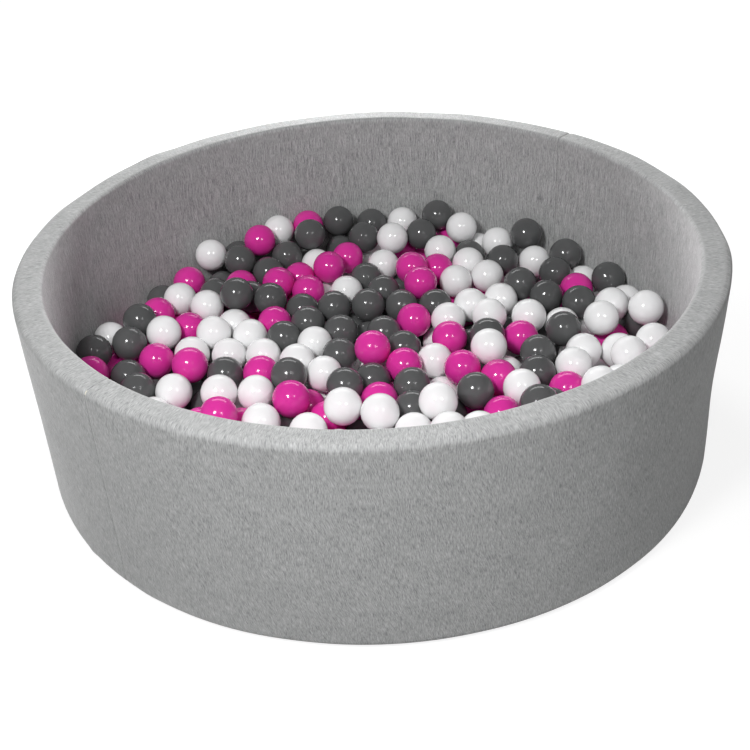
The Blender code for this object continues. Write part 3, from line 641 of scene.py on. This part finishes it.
def wall_foam():
    """The foam strip: the wall's section, a little inside the cover, swept almost a full turn.

    Its foot is cut away by a groove above the zip, and its two ends are flat.
    """
    profile = wall_profile(FOAM_STEP, FOAM_ARC_POINTS)
    slit = FOAM_JOINT / 2 / OUTER_RADIUS
    azimuth = np.linspace(SEAM_AZIMUTH + slit, SEAM_AZIMUTH + 2 * math.pi - slit, FOAM_COLUMNS)
    low = profile[:, 1] <= FOAM_GROOVE_TOP + FOAM_INSET
    kept = ~low | (profile[:, 0] > FOAM_GROOVE_RADIUS)
    groove = np.array([(FOAM_GROOVE_RADIUS, HEM_BOTTOM + FOAM_INSET),
                       (FOAM_GROOVE_RADIUS, FOAM_GROOVE_TOP),
                       (INNER_RADIUS + FOAM_INSET, FOAM_GROOVE_TOP)])
    points = np.concatenate([swept(profile, azimuth, -FOAM_INSET)[kept],
                             turned(groove[:, :1], azimuth, groove[:, 1:])])
    rows, columns = points.shape[:2]
    faces = grid_faces(rows, columns, closed_rows=True)[:, ::-1].tolist()
    faces.append((np.arange(rows)[::-1] * columns).tolist())
    faces.append((np.arange(rows) * columns + columns - 1).tolist())
    made = piece("wall_foam_strip", points, faces, FOAM, "pit", "polyether_foam")
    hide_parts("wall_foam")


def layer(name, outline, finish, slot, replaced, **numbers):
    """A round layer: an outline of radii and heights turned about the middle, closed at both ends.

    Any numbers are carried by the whole mesh.
    """
    outline = np.array(outline)
    azimuth = np.arange(LAYER_COLUMNS) * 2 * math.pi / LAYER_COLUMNS
    points = turned(outline[:, :1], azimuth, outline[:, 1:])
    rows, columns = points.shape[:2]
    top = rows * columns
    ring = np.arange(columns)
    after = (ring + 1) % columns
    faces = grid_faces(rows, columns, closed_columns=True).tolist()
    faces += np.stack([after, ring, np.full(columns, top)], axis=1).tolist()
    last = top - columns
    faces += np.stack([last + ring, last + after, np.full(columns, top + 1)], axis=1).tolist()
    middles = [(0, 0, outline[0, 1]), (0, 0, outline[-1, 1])]
    points = np.concatenate([points.reshape(-1, 3), middles])
    numbers = {label: np.full(len(points), number) for label, number in numbers.items()}
    made = piece(name, points, faces, finish, "pit", slot, points[:, :2], **numbers)
    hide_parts(replaced)
    return made


def cloth_outline(radius, bottom, top):
    """The outline of a flat round cloth, from its underside round its thin edge to its top."""
    return [(radius - CLOTH_BAND, bottom), (radius - CLOTH_EDGE, bottom),
            (radius, bottom + CLOTH_EDGE_RISE),
            (radius - CLOTH_EDGE, top), (radius - CLOTH_BAND, top)]


def mat_foam():
    """The mat on the floor, a foam disc with a bevelled edge."""
    rounding = MAT_FOAM_ROUNDING
    outline = [(MAT_RADIUS - MAT_BAND, MAT_FOAM_BOTTOM), (MAT_RADIUS - rounding, MAT_FOAM_BOTTOM),
               (MAT_RADIUS, MAT_FOAM_BOTTOM + rounding), (MAT_RADIUS, MAT_FOAM_TOP - rounding),
               (MAT_RADIUS - rounding, MAT_FOAM_TOP), (MAT_RADIUS - MAT_BAND, MAT_FOAM_TOP)]
    mat = layer("mat_foam", outline, FOAM, "polyether_foam", "base_foam")


def mat_cover():
    """The jersey disc over the mat, under the balls."""
    outline = cloth_outline(MAT_RADIUS, MAT_COVER_BOTTOM, MAT_COVER_TOP)
    cover = layer("mat_cover", outline, JERSEY, "grey_jersey", "floor_cover", from_seam=1.0)


def bottom_lining():
    """The disc of lining that the pit stands on."""
    outline = cloth_outline(LINING_RADIUS, 0.0, LINING_THICKNESS)
    lining = layer("underside_lining", outline, LINING, "underside_fabric", "bottom_cover")


def zip_azimuths(spacing):
    """Azimuths round the zip from its first tooth to its last, about this far apart in metres."""
    ends = ZIP_END_GAP / 2 / ZIP_RADIUS
    count = round((2 * math.pi - 2 * ends) * ZIP_RADIUS / spacing)
    return ZIP_AZIMUTH + np.linspace(ends, 2 * math.pi - ends, count)


def zip_teeth_row(label, side):
    """The teeth of one half of the zip, as one piece.

    A tooth is a block whose width and height shrink from its heel to its nose. Side is 1 for
    the outer half and -1 for the inner one, whose teeth stand half a pitch further on.
    """
    azimuth = zip_azimuths(TOOTH_PITCH)[1:-1] + (side < 0) * TOOTH_PITCH / 2 / ZIP_RADIUS
    end, along, up = np.array(np.meshgrid((0, 1), (-1, 1), (-1, 1), indexing="ij")).reshape(3, 8)
    away = np.where(end == 0, TOOTH_NOSE, TOOTH_HEEL)
    half_width = np.where(end == 0, TOOTH_NOSE_HALF_WIDTH, TOOTH_HEEL_HALF_WIDTH)
    half_height = np.where(end == 0, TOOTH_NOSE_HALF_HEIGHT, TOOTH_HEEL_HALF_HEIGHT)
    turn = azimuth[:, None] + along * half_width / ZIP_RADIUS
    points = turned(ZIP_RADIUS + side * away, turn, ZIP_HEIGHT + up * half_height)
    block = np.array([[0, 1, 3, 2], [4, 6, 7, 5], [0, 4, 5, 1], [2, 3, 7, 6], [0, 2, 6, 4], [1, 5, 7, 3]])
    faces = (block[:, ::side][None] + 8 * np.arange(len(azimuth))[:, None, None]).reshape(-1, 4)
    teeth = piece(f"zip_teeth_{label}", points, faces, TEETH, "pit", "zip_tape")
    teeth.data.shade_flat()
    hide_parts(f"zip_side_{label}")
    return teeth


def zip_side(label, side, sewn_height):
    """One half of the zip: its teeth, and a tape that steps down to the cloth it is sewn to."""
    section = np.array([(TAPE_NEAR_EDGE, ZIP_HEIGHT), (TAPE_BEND - TAPE_ROUNDING, ZIP_HEIGHT),
                        (TAPE_BEND, ZIP_HEIGHT - TAPE_DIP), (TAPE_FOOT, sewn_height + TAPE_ROUNDING),
                        (TAPE_FOOT + TAPE_ROUNDING, sewn_height), (TAPE_FAR_EDGE, sewn_height)])
    azimuth = zip_azimuths(TAPE_STEP)
    points = turned(ZIP_RADIUS + side * section[:, :1], azimuth, section[:, 1:] + TAPE_THICKNESS / 2)
    width = lengths_along(section)
    surface = np.stack(np.broadcast_arrays(azimuth * ZIP_RADIUS, width[:, None]), axis=-1)
    rows, columns = points.shape[:2]
    faces = grid_faces(rows, columns)[:, ::-side]
    tape = piece(f"zip_tape_{label}", points, faces, TWILL, "pit", "zip_tape", surface)
    thicken(tape, TAPE_THICKNESS)
    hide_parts(f"zip_side_{label}")
    zip_teeth_row(label, side)


def zip_casting(node):
    """The slider, its pull tab or an end stop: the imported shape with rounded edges."""
    packed = frame["nodes"][node]
    mesh = packed.data.copy()
    mesh.shade_smooth()
    mesh.materials.clear()
    mesh.materials.append(METAL)
    made = bpy.data.objects.new(node + "_casting", mesh)
    bpy.context.scene.collection.objects.link(made)
    weld = made.modifiers.new("weld", "WELD")
    weld.merge_threshold = SAME_POINT
    flats = made.modifiers.new("flats", "DECIMATE")
    flats.decimate_type = "DISSOLVE"
    flats.angle_limit = math.radians(1)
    bevel = made.modifiers.new("edges", "BEVEL")
    bevel.width = ZIP_METAL_EDGE
    bevel.segments = 3
    bevel.limit_method = "ANGLE"
    bevel.harden_normals = True
    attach(made, packed["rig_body"])
    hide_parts(node)


def ball_centres(node):
    """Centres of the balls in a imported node, from its flat facets.

    A facet with its corners on a ball has the centre straight behind the middle of the circle
    through them. The place that most facets agree on is a ball, and no other lies near it.
    """
    mesh = frame["nodes"][node].data
    mesh.calc_loop_triangles()
    corners = np.empty(len(mesh.vertices) * 3, np.float32)
    mesh.vertices.foreach_get("co", corners)
    index = np.empty(len(mesh.loop_triangles) * 3, np.int32)
    mesh.loop_triangles.foreach_get("vertices", index)
    first, second, third = corners.astype(float).reshape(-1, 3)[index.reshape(-1, 3)].transpose(1, 0, 2)
    one, other = second - first, third - first
    normal = np.cross(one, other)
    size = np.linalg.norm(normal, axis=1, keepdims=True)
    to_middle = (np.cross(normal, one) * (other ** 2).sum(axis=1, keepdims=True)
                 + np.cross(other, normal) * (one ** 2).sum(axis=1, keepdims=True)) / (2 * size ** 2)
    behind = np.sqrt(np.maximum(BALL_RADIUS ** 2 - (to_middle ** 2).sum(axis=1, keepdims=True), 0))
    guesses = first + to_middle - normal / size * behind
    apart = np.linalg.norm(guesses[:, None] - guesses[None], axis=2)
    votes = (apart < SAME_PLACE) @ size[:, 0]
    left = (apart < SAME_PLACE).sum(axis=1) > 1
    centres = []
    while left.any():
        best = np.argmax(np.where(left, votes, -1))
        centres.append(guesses[best])
        left &= apart[best] > BALL_RADIUS
    return np.array(centres)


def ball_template(segments, rings):
    """Points, and faces with four and three corners, of a moulded ball of radius 1.

    Rows of points run from pole to pole, closer together at the middle, where the radius rises
    in a narrow bell curve to the parting line. The poles are pressed in a little, as at the
    pinch marks.
    """
    half = np.linspace(0, math.pi / 2, rings + 1)[1:-1]
    seam = np.radians(PARTING_ROWS)
    polar = np.concatenate([half[half < seam[0] - ROW_CLEARANCE], seam])
    polar = np.concatenate([polar, math.pi - polar[-2::-1]])[:, None]
    radius = 1 + PARTING_RISE_SHARE * np.exp(-((polar - math.pi / 2) / PARTING_WIDTH) ** 2)
    azimuth = np.arange(segments) * 2 * math.pi / segments
    points = turned(radius * np.sin(polar), azimuth, radius * np.cos(polar))
    poles = [(0, 0, POLE_SHARE), (0, 0, -POLE_SHARE)]
    rows = len(polar)
    ring = np.arange(segments)
    after = (ring + 1) % segments
    top = rows * segments
    last = top - segments
    quads = grid_faces(rows, segments, closed_columns=True)[:, ::-1]
    upper_cap = np.stack([np.full(segments, top), ring, after], axis=1)
    lower_cap = np.stack([np.full(segments, top + 1), last + after, last + ring], axis=1)
    return np.concatenate([points.reshape(-1, 3), poles]), quads, np.concatenate([upper_cap, lower_cap])


def random_turns(draw, count):
    """Rotation matrices that turn balls every way alike, from random unit quaternions."""
    w, x, y, z = draw.normal(size=(4, count))
    size = np.sqrt(w * w + x * x + y * y + z * z)
    w, x, y, z = w / size, x / size, y / size, z / size
    return np.array([[1 - 2 * (y * y + z * z), 2 * (x * y - z * w), 2 * (x * z + y * w)],
                     [2 * (x * y + z * w), 1 - 2 * (x * x + z * z), 2 * (y * z - x * w)],
                     [2 * (x * z - y * w), 2 * (y * z + x * w), 1 - 2 * (x * x + y * y)]]
                    ).transpose(2, 0, 1)


def ball_group(node, draw, templates):
    """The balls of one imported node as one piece: turned at random, and finer where they show."""
    centres = ball_centres(node)
    turns = random_turns(draw, len(centres))
    tint = draw.uniform(0, 1, len(centres))
    points, faces, shade, count = [], [], [], 0
    for upper in (True, False):
        chosen = (centres[:, 2] > UPPER_BALLS) == upper
        shape, quads, caps = templates[upper]
        many = int(chosen.sum())
        moved = np.einsum("nij,vj->nvi", turns[chosen], shape) * BALL_RADIUS
        moved += centres[chosen][:, None]
        offsets = count + np.arange(many)[:, None, None] * len(shape)
        points.append(moved.reshape(-1, 3))
        faces += (quads[None] + offsets).reshape(-1, 4).tolist()
        faces += (caps[None] + offsets).reshape(-1, 3).tolist()
        shade.append(np.repeat(tint[chosen], len(shape)))
        count += many * len(shape)
    slot = BALL_SLOTS[node.split("_")[0]]
    made = piece(node + "_moulded", np.concatenate(points), faces, PLASTICS[slot],
                 frame["nodes"][node]["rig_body"], slot, shade=np.concatenate(shade))
    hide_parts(node)


def balls():
    """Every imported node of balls."""
    draw = np.random.default_rng(BALL_SEED)
    templates = {True: ball_template(*UPPER_MESH), False: ball_template(*LOWER_MESH)}
    for node in sorted(frame["nodes"]):
        if "_ball" in node:
            ball_group(node, draw, templates)


def floor_paper():
    """Pale paper that the camera, gloss and glass see glow white, less so in the pit's shadow."""
    paper = Finish("floor_paper", Roughness=0.9)
    seen = paper.ray("Camera").at_least(paper.ray("Glossy")).at_least(paper.ray("Transmission"))
    x, y, _ = paper.parts(paper.object_place())
    far = (paper.math("SQRT", x * x + y * y) - SHADOW_RADIUS).clamped()
    strength = far * (1 - FLOOR_GLOW) + FLOOR_GLOW
    shadowed = paper.node("ShaderNodeBsdfDiffuse", values={"Color": grey(0.22)})
    glow = paper.node("ShaderNodeEmission", values={"Color": grey(1.0), "Strength": strength})
    shown = paper.node("ShaderNodeAddShader", values=enumerate([shadowed, glow]))
    unseen = paper.node("ShaderNodeBsdfDiffuse", values={"Color": grey(0.45)})
    both = paper.node("ShaderNodeMixShader", values=enumerate([seen, unseen, shown]))
    paper.feed(paper.tree.nodes["Material Output"].inputs["Surface"], both)
    return paper.material


def studio_floor():
    """A round floor under the pit, only for the picture."""
    bpy.ops.mesh.primitive_circle_add(vertices=96, radius=FLOOR_RADIUS, fill_type="NGON",
                                      location=(0, 0, -FLOOR_DROP))
    ground = bpy.context.object
    ground.name = "studio_floor"
    ground.data.materials.append(floor_paper())


def studio_backdrop():
    """A world that is white to the camera and through glass, and dim light to the pit."""
    world = bpy.data.worlds.new("studio")
    bpy.context.scene.world = world
    world.use_nodes = True
    sky = Nodes(world.node_tree)
    seen = sky.ray("Camera").at_least(sky.ray("Transmission"))
    background = sky.tree.nodes["Background"]
    sky.feed(background.inputs["Color"], grey(1.0))
    sky.feed(background.inputs["Strength"], seen * (1 - AMBIENT) + AMBIENT)


def pose_matrix(place, right, up, ahead):
    """The matrix of a thing at a place, that looks ahead."""
    matrix = Matrix(np.stack([right, up, -ahead], axis=1).tolist()).to_4x4()
    matrix.translation = [float(x) for x in place]
    return matrix


def lamp(name, place, size, radiance, height=None, target=PIT_MIDDLE):
    """A soft lamp, round or a strip of this height, radiance times as bright as a lit white wall."""
    light = bpy.data.lights.new(name, "AREA")
    light.shape = "ELLIPSE" if height is None else "RECTANGLE"
    light.size = size
    light.size_y = height or size
    area = light.size * light.size_y * (math.pi / 4 if height is None else 1)
    light.energy = radiance * math.pi * area
    made = bpy.data.objects.new(name, light)
    made.visible_camera = False
    bpy.context.scene.collection.objects.link(made)
    ahead = np.array(target) - np.array(place)
    ahead = ahead / np.linalg.norm(ahead)
    right = np.cross(ahead, (0, 0, 1))
    right = right / np.linalg.norm(right)
    made.matrix_world = pose_matrix(place, right, np.cross(right, ahead), ahead)
    return made


def lamps(place, right, up):
    """Soft lamps that only light surfaces, lamps that only gleam in them, and one that does both."""
    right_side = place + (right * 0.336 + up * 0.24) * VIEW_DISTANCE
    left_side = place + (right * -0.354 + up * 0.306) * VIEW_DISTANCE
    soft = [
        lamp("ceiling_lamp", (-0.7, 0.6, 2.9), 2.6, 0.55),
        lamp("right_softbox", right_side, 0.8, 3.35),
        lamp("low_right_softbox", (1.9, -2.4, 0.22), 1.0, 6.3, 0.4),
        lamp("rim_lamp", (-0.1, 1.6, 0.75), 0.7, 25.0, target=(0, 0.4, 0.3)),
        lamp("front_rim_lamp", (0, -0.8, 1.2), 0.4, 4.6, target=(0, -0.62, 0.4)),
    ]
    lamp("flash_left", left_side, 0.45, 83)
    gleams = [
        lamp("flash_right", right_side, 0.33, 70),
        lamp("back_strip", (0, 2.4, 1.9), 3.0, 4.0, 0.5),
    ]
    for made in soft:
        made.visible_glossy = False
    for made in gleams:
        made.visible_diffuse = False


def turn_towards(first, second, angle):
    """Two axes turned by an angle in their own plane, the first towards the second."""
    return (first * math.cos(angle) + second * math.sin(angle),
            second * math.cos(angle) - first * math.sin(angle))


def camera():
    """The camera, from its viewpoint towards the middle of the pit, then panned, tilted, rolled."""
    back = VIEW_DISTANCE * math.cos(VIEW_ELEVATION)
    place = np.array([0, -back, VIEW_DISTANCE * math.sin(VIEW_ELEVATION)])
    ahead = -place / np.linalg.norm(place)
    right = np.array([1.0, 0, 0])
    up = np.cross(right, ahead)
    ahead, right = turn_towards(ahead, right, VIEW_PAN)
    ahead, up = turn_towards(ahead, up, VIEW_TILT)
    right, up = turn_towards(right, up, VIEW_ROLL)
    data = bpy.data.cameras.new("camera")
    data.sensor_width = SENSOR_MM
    data.lens = VIEW_FOCAL_PX / PICTURE_PX * SENSOR_MM
    made = bpy.data.objects.new("camera", data)
    bpy.context.scene.collection.objects.link(made)
    made.matrix_world = pose_matrix(place, right, up, ahead)
    bpy.context.scene.camera = made
    return place, right, up


JERSEY = heather_jersey()
LINING = underside_lining()
FOAM = open_cell_foam()
TWILL = zip_tape()
TEETH = zip_teeth()
METAL = zip_metal()
PLASTICS = {
    "white_plastic": ball_plastic("white_polyethylene", (0.94, 0.94, 0.945), (0.90, 0.90, 0.905)),
    "dark_grey_plastic": ball_plastic("dark_grey_polyethylene", (0.106, 0.108, 0.109),
                                      (0.088, 0.090, 0.091)),
    "magenta_plastic": ball_plastic("magenta_polyethylene", (0.75, 0.041, 0.355), (0.685, 0.034, 0.327)),
}

wall_cover("jersey_panel_back", SEAM_AZIMUTH, "wall_cover_back")
wall_cover("jersey_panel_front", SEAM_AZIMUTH + math.pi, "wall_cover_front")
wall_foam()
mat_foam()
mat_cover()
bottom_lining()
zip_side("outer", 1, TAPE_OUTER_HEIGHT)
zip_side("inner", -1, TAPE_INNER_HEIGHT)
for casting in ZIP_CASTINGS:
    zip_casting(casting)
balls()
studio_floor()
studio_backdrop()
lamps(*camera())

bpy.context.scene.view_settings.view_transform = "Standard"
